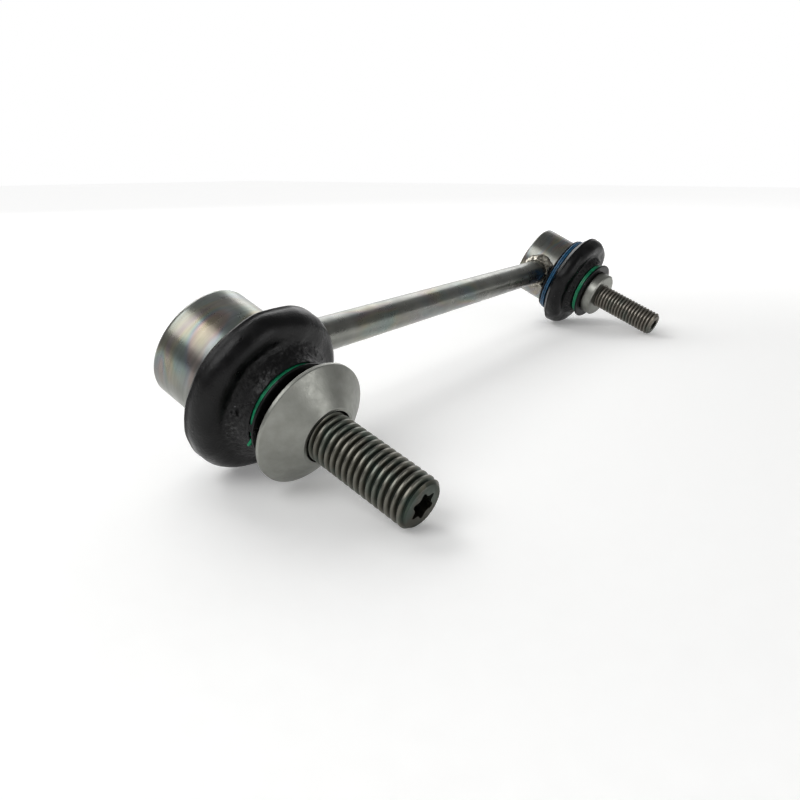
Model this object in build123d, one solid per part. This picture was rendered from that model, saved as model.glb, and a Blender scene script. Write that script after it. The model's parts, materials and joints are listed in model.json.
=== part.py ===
from build123d import *
import math
import os

# A stabilizer link: a straight rod with a ball joint welded across each end.
# One joint carries an M12 stud with a cone flange, the other an M10 stud with a plain collar.
# Millimetres and degrees. The link lies on a table as it would be put down: +X runs along the
# rod from the M12 joint to the M10 joint, the studs point towards -Y, and z = 0 is the table.

# The rod
link_length = 208.0  # between the centre lines of the two cups
rod_diameter = 10.0

# The cups, which are alike at both ends
cup_diameter = 30.0
cup_wall = 2.5
cup_back = 9.5  # from the rod's axis to the back of the cup
cup_front = 12.2  # from the rod's axis to the mouth of the cup
cup_tilt = 25.0  # the mouths point this far below the horizontal
cup_back_rounding = 1.2
cup_mouth_chamfer = 0.6

# The plate that closes the back, and the rim rolled over it
cover_thickness = 1.8
cover_seat_depth = 0.8  # the cover's seat is this much wider in radius than the bore
cover_rim_thickness = 1.0
cover_rim_reach = 1.2  # how far the rolled rim lies over the cover
cover_dimple_radius = 6.0
cover_dimple_depth = 0.5

# The ring that closes the mouth, and the lip rolled over it
closing_ring_thickness = 1.5
swing_limit = 22.0  # how far a stud swings from its cup's axis before it would meet the ring
swing_room = 1.0  # what is then left between the stud's neck and the ring
mouth_lip_thickness = 0.8
mouth_lip_reach = 1.8

# The ball and its plastic seat
ball_seat_wall = 3.5  # the plastic between the ball and the bore
ball_to_rod = 5.5  # the ball's centre lies this far towards the mouth from the rod's axis
ball_flat_diameter = 6.0
grease_pocket_diameter = 8.0
neck_step = 4.4  # the ball stands out this far from the neck
neck_length = 9.0  # from the ball's centre to the start of the taper

# The studs: where the shoulder lies and where the stud ends, from the ball's centre
boot_seat_diameter = 17.0
boot_seat_length = 4.5
m12_thread = 12.0
m12_shoulder = 19.8
m12_end = 57.5
m10_thread = 10.0
m10_shoulder = 19.0
m10_end = 50.7
thread_chamfer = 0.9
grip_step = 0.3  # the flange and the collar are pressed on a shank this much larger than the thread
runout_depth = 0.9  # the thread runs out in a groove this deep
thread_clearance = 0.4  # from the flange or collar to the first full thread
m12_socket_width = 7.4  # across the lobes
m10_socket_width = 5.6
socket_depth = 4.0
socket_core_share = 0.36  # the radius between the lobes, as a share of the width across them
socket_lobe_share = 0.12  # the radius of a lobe

# How the studs lie: swung away from the cup's axis, and in which direction round it
m12_swing_angle = 10.4
m12_heading_angle = 135.0
m10_swing_angle = 8.3
m10_heading_angle = 153.0

# The cone flange on the M12 stud
flange_diameter = 30.0
flange_rim_height = 0.9
flange_back_height = 3.6  # from the shoulder to the rim's back edge
flange_back_diameter = 19.0
flange_cone_height = 5.5
flange_nose_diameter = 14.4
flange_nose_wall = 0.7
flange_grip_length = 4.5  # the length that holds the stud, behind the wider nose
flange_rounding = 0.25

# The collar on the M10 stud
collar_diameter = 19.2
collar_length = 4.1
collar_chamfer = 0.5

# The rubber boots
boot_wall = 1.6
boot_groove_depth = 0.8  # the cup is turned down by this much where the boot grips it
boot_lip_from_rod = 5.5  # from the rod's axis to the boot's first lip
boot_lip_width = 0.9
boot_lip_height = 0.8
boot_band_wall = 1.7  # under the clip on the cup
boot_band_tail = 1.4  # beyond that clip
bulge_from_ball = 7.2
bulge_overhang = 1.5  # the middle of the bulge lies this far outside the cup
bulge_radius = 4.5
bulge_follow = 0.62  # the bulge leans this share of the stud's swing
valley_depth = 1.7  # between the bulge and the fold
boot_neck_wall = 1.4  # under the clip on the neck
boot_fold_radius = 2.5
boot_fold_overhang = 0.5  # the middle of the fold lies this far outside the neck's groove
boot_end_lip = 1.0
boot_end_lip_height = 2.2

# The clips that hold the boots
cup_clip_width = 2.4
cup_clip_thickness = 1.2
neck_clip_width = 2.2
neck_clip_thickness = 1.1
clip_corner = 0.35  # the wire's corners are cut by this much

# The weld beads
weld_leg = 3.0
weld_spread = 2.6  # how far the bead stands out from the rod

# Clearances
fit_clearance = 0.05  # between pieces that are pressed or welded together
ball_clearance = 0.05
soft_clearance = 0.3  # between the boot's neck and what turns inside or round it

cup_radius = cup_diameter / 2
bore_radius = cup_radius - cup_wall
ball_radius = bore_radius - ball_seat_wall
neck_radius = ball_radius - neck_step
boot_seat_radius = boot_seat_diameter / 2
rod_radius = rod_diameter / 2

bulge_ring_radius = cup_radius + bulge_overhang

# Heights in a cup's own frame: the ball's centre is at 0 and the mouth is upwards
back_height = -ball_to_rod - cup_back
mouth_height = cup_front - ball_to_rod
cover_back = back_height + cover_rim_thickness
cover_front = cover_back + cover_thickness
closing_ring_top = mouth_height - mouth_lip_thickness
closing_ring_base = closing_ring_top - closing_ring_thickness
band_start = boot_lip_from_rod - ball_to_rod
cup_clip_start = band_start + boot_lip_width
cup_clip_end = cup_clip_start + cup_clip_width
band_end = cup_clip_end + boot_band_tail
bulge_start = cup_clip_end + soft_clearance
groove_radius = cup_radius - boot_groove_depth
band_radius = groove_radius + boot_band_wall
cup_clip_radius = band_radius + fit_clearance + cup_clip_thickness

# Heights in a stud's own frame: the ball's centre is at 0 and the thread is upwards
neck_bore_radius = boot_seat_radius + soft_clearance
neck_groove_radius = neck_bore_radius + boot_neck_wall
flange_grip_end = m12_shoulder + flange_grip_length
flange_nose = m12_shoulder + flange_back_height + flange_rim_height + flange_cone_height
collar_front = m10_shoulder + collar_length
m12_thread_start = flange_nose + thread_clearance
m10_thread_start = collar_front + thread_clearance

slope = math.radians(cup_tilt)


def turned(*corners):
    """Turns a closed outline, given as (radius, height) corners, round the Z axis."""
    outline = Polyline(*[(radius, 0, height) for radius, height in corners], close=True)
    return revolve(make_face(outline), Axis.Z)


def torus_at(ring_radius, tube_radius, height):
    """A torus round the Z axis."""
    return Pos(0, 0, height) * Torus(ring_radius, tube_radius)


def column(radius, low, high):
    """A solid cylinder between two heights."""
    return Pos(0, 0, (low + high) / 2) * Cylinder(radius, high - low)


def cup():
    """The cup: bored through, grooved for the boot, and rolled in at both ends."""
    body = turned(
        (bore_radius + cover_seat_depth - cover_rim_reach, back_height),
        (cup_radius, back_height),
        (cup_radius, band_start - fit_clearance),
        (groove_radius, band_start - fit_clearance),
        (groove_radius, band_end + fit_clearance),
        (cup_radius, band_end + fit_clearance),
        (cup_radius, mouth_height - cup_mouth_chamfer),
        (cup_radius - cup_mouth_chamfer, mouth_height),
        (bore_radius - mouth_lip_reach, mouth_height),
        (bore_radius - mouth_lip_reach, closing_ring_top),
        (bore_radius, closing_ring_top),
        (bore_radius, cover_front),
        (bore_radius + cover_seat_depth, cover_front),
        (bore_radius + cover_seat_depth, cover_back),
        (bore_radius + cover_seat_depth - cover_rim_reach, cover_back),
    )
    back_edges = body.edges().group_by(Axis.Z)[0].sort_by(SortBy.RADIUS)
    return fillet(back_edges[-1], cup_back_rounding)


def cover():
    """The plate at the back, with a shallow pressed dimple."""
    plate_radius = bore_radius + cover_seat_depth - fit_clearance
    plate = column(plate_radius, cover_back, cover_front)
    dimple = column(cover_dimple_radius, cover_back, cover_back + cover_dimple_depth)
    return plate - dimple


def ball_seat():
    """The plastic shell that fills the cup round the ball."""
    shell = column(bore_radius - fit_clearance, cover_front, closing_ring_base)
    hollow = Sphere(ball_radius + ball_clearance)
    pocket = column(grease_pocket_diameter / 2, cover_front, 0)
    return shell - hollow - pocket


def neck_sweep(height):
    """The radius that a stud's neck reaches at a height when it swings to its limit."""
    limit = math.radians(swing_limit)
    return height * math.tan(limit) + neck_radius / math.cos(limit)


def ring_bore(height):
    """The closing ring's bore at a height: clear of the ball and of the stud's neck."""
    ball_room = ball_radius + 2 * ball_clearance
    beside_ball = math.sqrt(max(ball_room**2 - height**2, 0))
    return max(neck_sweep(height) + swing_room, beside_ball)


def closing_ring():
    """The steel ring that holds the seat in, flared so that the stud can swing."""
    return turned(
        (ring_bore(closing_ring_base), closing_ring_base),
        (bore_radius - fit_clearance, closing_ring_base),
        (bore_radius - fit_clearance, closing_ring_top),
        (ring_bore(closing_ring_top), closing_ring_top),
    )


def socket(width, end):
    """The six-lobed driving socket in the end of a stud."""
    lobe_radius = width * socket_lobe_share
    core = column(width * socket_core_share, end - socket_depth, end)
    lobe = column(lobe_radius, end - socket_depth, end)
    return core + [place * lobe for place in PolarLocations(width / 2 - lobe_radius, 6)]


def stud(thread, shoulder, grip_end, thread_start, end, socket_width):
    """A ball stud: ball, neck, taper, seat for the boot, shoulder, grip, run-out and thread."""
    thread_radius = thread / 2
    grip_radius = thread_radius + grip_step
    runout_radius = thread_radius - runout_depth
    taper_end = shoulder - boot_seat_length
    shaft = turned(
        (0, 0),
        (neck_radius, 0),
        (neck_radius, neck_length),
        (boot_seat_radius, taper_end),
        (boot_seat_radius, shoulder),
        (grip_radius, shoulder),
        (grip_radius, grip_end),
        (runout_radius, grip_end),
        (runout_radius, thread_start - runout_depth / 2),
        (thread_radius, thread_start),
        (thread_radius, end - thread_chamfer),
        (thread_radius - thread_chamfer, end),
        (0, end),
    )
    flat_radius = ball_flat_diameter / 2
    flat_height = math.sqrt(ball_radius**2 - flat_radius**2)
    ball = Sphere(ball_radius) - column(ball_radius, -2 * ball_radius, -flat_height)
    return ball + shaft - socket(socket_width, end)


def cone_flange():
    """The cone on the M12 stud, with a thin rim and a nose that stands clear of the thread."""
    bore = m12_thread / 2 + grip_step + fit_clearance
    rim_back = m12_shoulder + flange_back_height
    rim_front = rim_back + flange_rim_height
    nose_radius = flange_nose_diameter / 2
    relief_radius = nose_radius - flange_nose_wall
    body = turned(
        (bore, m12_shoulder),
        (flange_back_diameter / 2, m12_shoulder),
        (flange_diameter / 2, rim_back),
        (flange_diameter / 2, rim_front),
        (nose_radius, flange_nose),
        (relief_radius, flange_nose),
        (relief_radius, flange_grip_end),
        (bore, flange_grip_end),
    )
    circles = body.edges().filter_by(GeomType.CIRCLE)
    rim_edges = circles.group_by(SortBy.RADIUS)[-1]
    nose_edge = circles.group_by(Axis.Z)[-1].sort_by(SortBy.RADIUS)[-1]
    return fillet([*rim_edges, nose_edge], flange_rounding)


def collar():
    """The collar on the M10 stud."""
    bore = m10_thread / 2 + grip_step + fit_clearance
    outside = collar_diameter / 2
    return turned(
        (bore, m10_shoulder),
        (outside - collar_chamfer / 2, m10_shoulder),
        (outside, m10_shoulder + collar_chamfer / 2),
        (outside, collar_front - collar_chamfer),
        (outside - collar_chamfer, collar_front),
        (bore, collar_front),
    )


def neck_clip_span(shoulder):
    """Where the clip on the boot's neck starts and ends along the stud."""
    clip_end = shoulder - soft_clearance - boot_end_lip
    return clip_end - neck_clip_width, clip_end


def boot_bulge():
    """The boot's bulge, filled, and the hollow inside it, in a frame that partly follows the stud."""
    front = bulge_from_ball + bulge_radius - valley_depth
    inner_radius = bulge_radius - boot_wall
    steep_flank = inner_radius * math.sin(math.radians(45))
    filled = torus_at(bulge_ring_radius, bulge_radius, bulge_from_ball)
    filled += column(bulge_ring_radius, bulge_from_ball, front)
    hollow = torus_at(bulge_ring_radius, inner_radius, bulge_from_ball)
    hollow += column(bulge_ring_radius, bulge_from_ball - steep_flank, front - boot_wall)
    hollow += column(neck_groove_radius + boot_wall, 0, front - boot_wall)
    return filled, hollow


def boot_band():
    """The boot's band on the cup, filled, and the hollow inside it, in the cup's frame."""
    root_radius = cup_radius + soft_clearance
    filled = column(band_radius, band_start, bulge_start)
    filled += column(band_radius + boot_lip_height, band_start, cup_clip_start)
    filled += column(root_radius + boot_wall, bulge_start, bulge_from_ball)
    hollow = column(groove_radius + fit_clearance, band_start, band_end)
    hollow += column(root_radius, band_end, mouth_height + soft_clearance)
    return filled, hollow


def boot_neck(shoulder):
    """The boot's fold and neck, filled, and the hollow inside them, in the stud's frame."""
    clip_start, clip_end = neck_clip_span(shoulder)
    end = clip_end + boot_end_lip
    fold_height = clip_start - soft_clearance - boot_fold_radius
    fold_ring_radius = neck_groove_radius + boot_fold_overhang
    filled = column(fold_ring_radius, bulge_from_ball, fold_height)
    filled += torus_at(fold_ring_radius, boot_fold_radius, fold_height)
    filled += column(neck_groove_radius, bulge_from_ball, clip_end)
    filled += column(neck_groove_radius + boot_end_lip_height, clip_end, end)
    hollow = column(neck_bore_radius, 0, end)
    hollow += torus_at(fold_ring_radius, boot_fold_radius - boot_wall, fold_height)
    return filled, hollow


def boot(cup_place, bulge_place, stud_place, shoulder):
    """The rubber boot: its band stays on the cup, its neck follows the stud, its bulge does so in part."""
    band, band_hollow = boot_band()
    bulge, bulge_hollow = boot_bulge()
    neck, neck_hollow = boot_neck(shoulder)
    behind_bulge = column(cup_clip_radius + soft_clearance, back_height, bulge_start)
    skin = bulge_place * bulge - cup_place * behind_bulge
    skin += cup_place * band + stud_place * neck
    hollow = cup_place * band_hollow + bulge_place * bulge_hollow + stud_place * neck_hollow
    return skin - hollow


def wire_clip(inner_radius, thickness, start, width):
    """A clip of two turns of flat wire that lie side by side."""
    turn_width = width / 2
    outer_radius = inner_radius + thickness
    middle = start + turn_width
    end = start + width
    return turned(
        (inner_radius, start),
        (outer_radius - clip_corner, start),
        (outer_radius, start + clip_corner),
        (outer_radius, middle - clip_corner),
        (outer_radius - clip_corner, middle),
        (outer_radius, middle + clip_corner),
        (outer_radius, end - clip_corner),
        (outer_radius - clip_corner, end),
        (inner_radius, end),
    )


def cup_clip():
    """The clip that holds the boot on the cup."""
    return wire_clip(band_radius + fit_clearance, cup_clip_thickness, cup_clip_start, cup_clip_width)


def neck_clip(shoulder):
    """The clip that holds the boot's neck."""
    clip_start = neck_clip_span(shoulder)[0]
    return wire_clip(neck_groove_radius + soft_clearance, neck_clip_thickness, clip_start, neck_clip_width)


def weld(rod_side):
    """The bead round the rod where it meets the cup, in the cup's frame. Its face is hollow:
    at two thirds of its leg along the rod it stands out by one third of its spread."""
    bead_radius = rod_radius + weld_spread
    wall_end = cup_radius + weld_leg
    outline = (
        (0, 0),
        (bead_radius, 0),
        (bead_radius, cup_radius),
        (rod_radius + weld_spread / 3, cup_radius + weld_leg * 2 / 3),
        (rod_radius + fit_clearance * 2, wall_end),
        (0, wall_end),
    )
    bead = Pos(0, 0, -ball_to_rod) * Rot(0, 90 * rod_side, 0) * turned(*outline)
    bead -= column(cup_radius + fit_clearance, back_height, mouth_height)
    bead -= Pos(0, 0, -ball_to_rod) * Rot(0, 90, 0) * Cylinder(rod_radius + fit_clearance, link_length)
    keep_off = column(cup_diameter, band_start - soft_clearance, mouth_height)
    return bead - keep_off


def rod(cup_places):
    """The rod, its ends cut to lie against the cups."""
    bar = Pos(0, 0, rod_height) * Rot(0, 90, 0) * Cylinder(rod_radius, link_length - cup_radius)
    for place in cup_places:
        bar -= place * column(cup_radius + fit_clearance, back_height - rod_diameter, mouth_height + rod_diameter)
    return bar


def cup_plane(side, height):
    """The frame of the cup at one end: origin at the ball's centre, Z out of the mouth."""
    axis = Vector(0, -math.cos(slope), -math.sin(slope))
    centre = Vector(side * link_length / 2, 0, height) + axis * ball_to_rod
    return Plane(origin=centre, x_dir=(1, 0, 0), z_dir=axis)


def stud_plane(cup_frame, swing, direction):
    """The frame of a stud that is swung away from its cup's axis."""
    turn = math.radians(direction)
    lean = math.radians(swing)
    sideways = cup_frame.x_dir * math.cos(turn) + cup_frame.y_dir * math.sin(turn)
    axis = cup_frame.z_dir * math.cos(lean) + sideways * math.sin(lean)
    across = cup_frame.z_dir.cross(sideways)
    return Plane(origin=cup_frame.origin, x_dir=across, z_dir=axis)


def tip_reach(swing, direction, thread, end):
    """How far a stud's last full thread reaches below the rod's axis."""
    frame = stud_plane(cup_plane(0, 0), swing, direction)
    last_thread = frame.origin + frame.z_dir * (end - thread_chamfer)
    level_part = math.sqrt(1 - frame.z_dir.Z**2)
    return thread / 2 * level_part - last_thread.Z


def bulge_reach(swing, direction):
    """How far a boot's bulge reaches below the rod's axis."""
    frame = stud_plane(cup_plane(0, 0), swing * bulge_follow, direction)
    ring_centre = frame.origin + frame.z_dir * bulge_from_ball
    level_part = math.sqrt(1 - frame.z_dir.Z**2)
    return bulge_ring_radius * level_part + bulge_radius - ring_centre.Z


# The boots or the studs' tips lie on the table, and that sets how high the rod lies
rod_height = max(
    bulge_reach(m12_swing_angle, m12_heading_angle),
    bulge_reach(m10_swing_angle, m10_heading_angle),
    tip_reach(m12_swing_angle, m12_heading_angle, m12_thread, m12_end),
    tip_reach(m10_swing_angle, m10_heading_angle, m10_thread, m10_end),
)


def joint_pieces(name, side, swing, direction, stud_sizes):
    """All the pieces of one ball joint, by node name."""
    cup_frame = cup_plane(side, rod_height)
    in_cup = cup_frame.location
    in_bulge = stud_plane(cup_frame, swing * bulge_follow, direction).location
    on_stud = stud_plane(cup_frame, swing, direction).location
    shoulder = stud_sizes[1]
    return {
        name + "_cup": in_cup * cup(),
        name + "_cover_plate": in_cup * cover(),
        name + "_ball_seat": in_cup * ball_seat(),
        name + "_closing_ring": in_cup * closing_ring(),
        name + "_ball_stud": on_stud * stud(*stud_sizes),
        name + "_boot": boot(in_cup, in_bulge, on_stud, shoulder),
        name + "_cup_clip": in_cup * cup_clip(),
        name + "_neck_clip": on_stud * neck_clip(shoulder),
        name + "_weld": in_cup * weld(-side),
    }


def build():
    """Every piece by node name, lying on the table with the origin below the middle of the whole."""
    m12_sizes = (m12_thread, m12_shoulder, flange_grip_end, m12_thread_start, m12_end, m12_socket_width)
    m10_sizes = (m10_thread, m10_shoulder, collar_front, m10_thread_start, m10_end, m10_socket_width)
    m12_cup_frame = cup_plane(-1, rod_height)
    m10_cup_frame = cup_plane(1, rod_height)
    pieces = {"link_rod": rod([m12_cup_frame.location, m10_cup_frame.location])}
    pieces |= joint_pieces("m12", -1, m12_swing_angle, m12_heading_angle, m12_sizes)
    pieces |= joint_pieces("m10", 1, m10_swing_angle, m10_heading_angle, m10_sizes)
    m12_stud_frame = stud_plane(m12_cup_frame, m12_swing_angle, m12_heading_angle)
    m10_stud_frame = stud_plane(m10_cup_frame, m10_swing_angle, m10_heading_angle)
    pieces["m12_cone_flange"] = m12_stud_frame.location * cone_flange()
    pieces["m10_collar"] = m10_stud_frame.location * collar()
    box = Compound(children=[Compound(piece.solids()) for piece in pieces.values()]).bounding_box()
    centring = Pos(-box.center().X, -box.center().Y, -box.min.Z)
    return {name: centring * piece for name, piece in pieces.items()}, centring


pieces, centring = build()
os.makedirs("parts", exist_ok=True)
for name, piece in pieces.items():
    export_step(piece, "parts/" + name + ".step")
    print(name, len(piece.solids()), "solid", round(piece.volume, 1), "mm3")
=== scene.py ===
# %% [markdown]
# A stabilizer link joins a car's anti-roll bar to its wheel. It is a steel rod with a ball
# joint welded across each end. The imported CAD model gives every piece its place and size.
# This lesson adds what a CAD solid leaves out: threads, rubber, wire ends, weld and finishes.

# %% Load the frame
import json
import math

import bpy
from mathutils import Matrix, Vector, noise


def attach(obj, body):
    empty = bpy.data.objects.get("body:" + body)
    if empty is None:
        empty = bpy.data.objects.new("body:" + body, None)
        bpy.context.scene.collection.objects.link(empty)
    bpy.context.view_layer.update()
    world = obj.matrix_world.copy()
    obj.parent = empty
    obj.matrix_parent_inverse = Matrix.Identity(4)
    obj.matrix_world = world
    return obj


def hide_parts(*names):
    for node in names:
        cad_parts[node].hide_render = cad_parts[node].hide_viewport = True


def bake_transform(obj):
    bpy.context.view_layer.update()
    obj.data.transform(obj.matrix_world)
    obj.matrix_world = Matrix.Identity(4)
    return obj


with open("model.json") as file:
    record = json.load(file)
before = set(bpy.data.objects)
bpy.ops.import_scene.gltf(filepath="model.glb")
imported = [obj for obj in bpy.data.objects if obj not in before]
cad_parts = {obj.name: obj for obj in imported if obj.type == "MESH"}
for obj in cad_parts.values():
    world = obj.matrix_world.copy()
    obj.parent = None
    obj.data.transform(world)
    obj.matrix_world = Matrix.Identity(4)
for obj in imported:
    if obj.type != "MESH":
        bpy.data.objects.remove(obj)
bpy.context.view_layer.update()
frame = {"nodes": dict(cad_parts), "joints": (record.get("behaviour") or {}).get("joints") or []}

nodes = frame["nodes"]

# %% [markdown]
# Each ball joint has two axes that cross in the ball's centre: the cup's and the stud's.
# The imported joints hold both, and the hinge that the stud swings about. From them come
# two frames per joint, with X along that hinge and Z along the cup or the stud. A piece is
# modelled upright round the Z axis in millimetres, and moved into its frame at the end.

# %% Frames of the joints
MM = 0.001
ENDS = ("m12", "m10")


def joint(name):
    return next(j for j in frame["joints"] if j["name"] == name)


def placed_along(ball, hinge, axis):
    """The matrix of a frame with its origin in the ball, X along the hinge and Z along the axis."""
    z = Vector(axis).normalized()
    y = z.cross(Vector(hinge)).normalized()
    x = y.cross(z)
    return Matrix.Translation(ball) @ Matrix((x, y, z)).transposed().to_4x4()


cup_frame = {}
stud_frame = {}
swing_angle = {}
for end in ENDS:
    hinge = joint(end + "_swing")
    cup_axis = Vector(joint(end + "_swing_direction")["axis"])
    stud_axis = Vector(joint(end + "_stud_turn")["axis"])
    cup_frame[end] = placed_along(hinge["pos_m"], hinge["axis"], cup_axis)
    stud_frame[end] = placed_along(hinge["pos_m"], hinge["axis"], stud_axis)
    swing_angle[end] = cup_axis.angle(stud_axis)
    print(end, "stud leans", round(math.degrees(swing_angle[end]), 1), "degrees")

# %% [markdown]
# The camera comes first, so that every later step can be set against the photograph. The
# rod's edges, the cups and the ball studs were measured in it, and a camera was fitted to
# them: it stands a hand's breadth above the table, near the large joint, and looks along
# the rod and 18 degrees down.

# %% Camera
CAMERA_PLACE = (-223.05, -102.65, 69.65)
CAMERA_TILT = 72.18
CAMERA_HEADING = -57.34
FOCAL_LENGTH = 32.42

camera_data = bpy.data.cameras.new("camera")
camera_data.lens = FOCAL_LENGTH
camera_data.clip_start = 5 * MM
camera = bpy.data.objects.new("camera", camera_data)
camera.location = Vector(CAMERA_PLACE) * MM
camera.rotation_euler = (math.radians(CAMERA_TILT), 0, math.radians(CAMERA_HEADING))
bpy.context.scene.collection.objects.link(camera)
bpy.context.scene.camera = camera
bpy.context.scene.view_settings.view_transform = "Standard"
print("camera at", CAMERA_PLACE, "mm")

# %% [markdown]
# Two helpers do what a hand does again and again: clear the selection, and apply a
# modifier. A third leaves a finished piece with its place in its mesh, as a CAD node has it.
# A line is drawn by pulling out one vertex after another, and the Screw modifier turns it.

# %% Helpers for modelling
def clear_selection():
    bpy.ops.object.select_all(action="DESELECT")


def pick(piece):
    clear_selection()
    piece.select_set(True)
    bpy.context.view_layer.objects.active = piece


def apply_modifier(piece, kind, **settings):
    pick(piece)
    modifier = piece.modifiers.new(kind.lower(), kind)
    for key, value in settings.items():
        setattr(modifier, key, value)
    bpy.ops.object.modifier_apply(modifier=modifier.name)


def mend_mesh(piece, distance=0.01):
    """Merges points that lie on each other, and turns all faces outwards."""
    pick(piece)
    bpy.ops.object.mode_set(mode="EDIT")
    bpy.ops.mesh.select_all(action="SELECT")
    bpy.ops.mesh.remove_doubles(threshold=distance * MM)
    bpy.ops.mesh.normals_make_consistent(inside=False)
    bpy.ops.object.mode_set(mode="OBJECT")


def put_in_place(piece, place):
    piece.data.transform(place)
    piece.data.update()


def draw_line(name, points):
    """An open line through (radius, height) points."""
    clear_selection()
    bpy.ops.mesh.primitive_plane_add(size=MM)
    piece = bpy.context.object
    piece.name = name
    piece.data.name = name
    bpy.ops.object.mode_set(mode="EDIT")
    bpy.ops.mesh.select_mode(type="VERT")
    bpy.ops.mesh.merge(type="CENTER")
    bpy.ops.transform.translate(value=(points[0][0] * MM, 0, points[0][1] * MM))
    for before, after in zip(points, points[1:]):
        step = ((after[0] - before[0]) * MM, 0, (after[1] - before[1]) * MM)
        bpy.ops.mesh.extrude_region_move(TRANSFORM_OT_translate={"value": step})
    bpy.ops.object.mode_set(mode="OBJECT")
    return piece


def lathe(piece, sides, rise=0.0, turns=1, angle=360.0):
    """Turns a line round the Z axis by an angle, turns times, and lifts it by rise mm each time."""
    apply_modifier(
        piece, "SCREW", steps=sides, render_steps=sides, screw_offset=rise * MM,
        iterations=turns, angle=math.radians(angle),
    )
    mend_mesh(piece, 0.001)


def arc(centre, radius, first, last, count):
    """Points on an arc, in degrees from straight outwards, turning towards the stud's end."""
    angles = [math.radians(first + (last - first) * i / (count - 1)) for i in range(count)]
    return [(centre[0] + radius * math.cos(a), centre[1] + radius * math.sin(a)) for a in angles]


def smooth_step(value, low, high):
    """0 below low, 1 above high and smooth between."""
    share = min(max((value - low) / (high - low), 0), 1)
    return share * share * (3 - 2 * share)


# %% [markdown]
# The studs carry rolled threads, M12 with a pitch of 1.75 mm and M10 with 1.5 mm. A thread
# is one tooth's outline turned and lifted: the Screw modifier does both at once. The tooth
# has steep flanks, a crest rolled flat and a rounded root. The rod of thread is
# then cut to length with bisect, and its end is chamfered and given a six-lobed socket
# by booleans with turned shapes, as the real end is turned and pressed.

# %% Sizes of the studs
THREAD_SIDES = 72
STUDS = {
    "m12": {
        "thread": 12.0, "pitch": 1.75, "shoulder": 19.8, "start": 24.4, "end": 57.5, "socket": 6.8,
    },
    "m10": {
        "thread": 10.0, "pitch": 1.5, "shoulder": 19.0, "start": 23.2, "end": 50.7, "socket": 5.6,
    },
}
BALL_RADIUS = 9.0
NECK_RADIUS = 4.6
NECK_LENGTH = 9.0
BOOT_SEAT_RADIUS = 8.5
BOOT_SEAT_LENGTH = 4.5
GRIP_STEP = 0.3
GRIP_RUN_OUT = 0.3
SOCKET_SIDES = 96
SOCKET_CORE_SHARE = 0.72
LOBE_SHARPNESS = 1.4
SOCKET_TIP = 0.8
SOCKET_TIP_SHARE = 0.3
SOCKET_DEPTH = 4.0
END_CHAMFER = 0.9
ROOT_DEPTH_SHARE = 0.5  # of the pitch, from crest to root
FIRST_TURN = 1.368  # pitches before the start, so that no point lies in the plane of a cut
SPARE_TURNS = 3
OVERSHOOT = 1.0  # how far a cutting tool reaches past what it cuts
STUD_SMOOTH_ANGLE = 32


# %% Threaded shank
def tooth(radius, pitch):
    """One pitch of the thread's outline, from root to root."""
    root = radius - ROOT_DEPTH_SHARE * pitch
    rounding = 0.04 * pitch
    return [
        (root, 0),
        (root + rounding, 0.1 * pitch),
        (radius - rounding, 0.34 * pitch),
        (radius, 0.38 * pitch),
        (radius, 0.62 * pitch),
        (radius - rounding, 0.66 * pitch),
        (root + rounding, 0.9 * pitch),
        (root, pitch),
    ]


def cut_off(piece, height, keep_below):
    """Cuts a piece level at a height and closes the cut."""
    pick(piece)
    bpy.ops.object.mode_set(mode="EDIT")
    bpy.ops.mesh.select_all(action="SELECT")
    bpy.ops.mesh.bisect(
        plane_co=(0, 0, height * MM), plane_no=(0, 0, 1), use_fill=True,
        clear_outer=keep_below, clear_inner=not keep_below,
    )
    bpy.ops.object.mode_set(mode="OBJECT")


def thread_rod(name, sizes):
    turns = math.ceil((sizes["end"] - sizes["start"]) / sizes["pitch"]) + SPARE_TURNS
    piece = draw_line(name, tooth(sizes["thread"] / 2, sizes["pitch"]))
    lathe(piece, THREAD_SIDES, rise=sizes["pitch"], turns=turns)
    lowest = sizes["start"] - FIRST_TURN * sizes["pitch"]
    put_in_place(piece, Matrix.Translation((0, 0, lowest * MM)))
    cut_off(piece, sizes["start"], keep_below=False)
    cut_off(piece, sizes["end"], keep_below=True)
    mend_mesh(piece, 0.001)
    print(name, "has", turns - SPARE_TURNS, "turns and", len(piece.data.polygons), "faces")
    return piece


stud = {end: thread_rod(end + "_stud", STUDS[end]) for end in ENDS}


# %% Chamfer and socket
def end_blank(sizes):
    """What the turning tool leaves of the shank: a cylinder with a chamfered end."""
    radius = sizes["thread"] / 2
    reach = OVERSHOOT
    low = sizes["start"] - reach
    blank = draw_line("blank", [
        (0, low),
        (radius + reach, low),
        (radius + reach, sizes["end"] - END_CHAMFER - reach),
        (radius - END_CHAMFER, sizes["end"]),
        (radius - END_CHAMFER - reach, sizes["end"] + reach),
        (0, sizes["end"] + reach),
    ])
    lathe(blank, THREAD_SIDES)
    return blank


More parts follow.
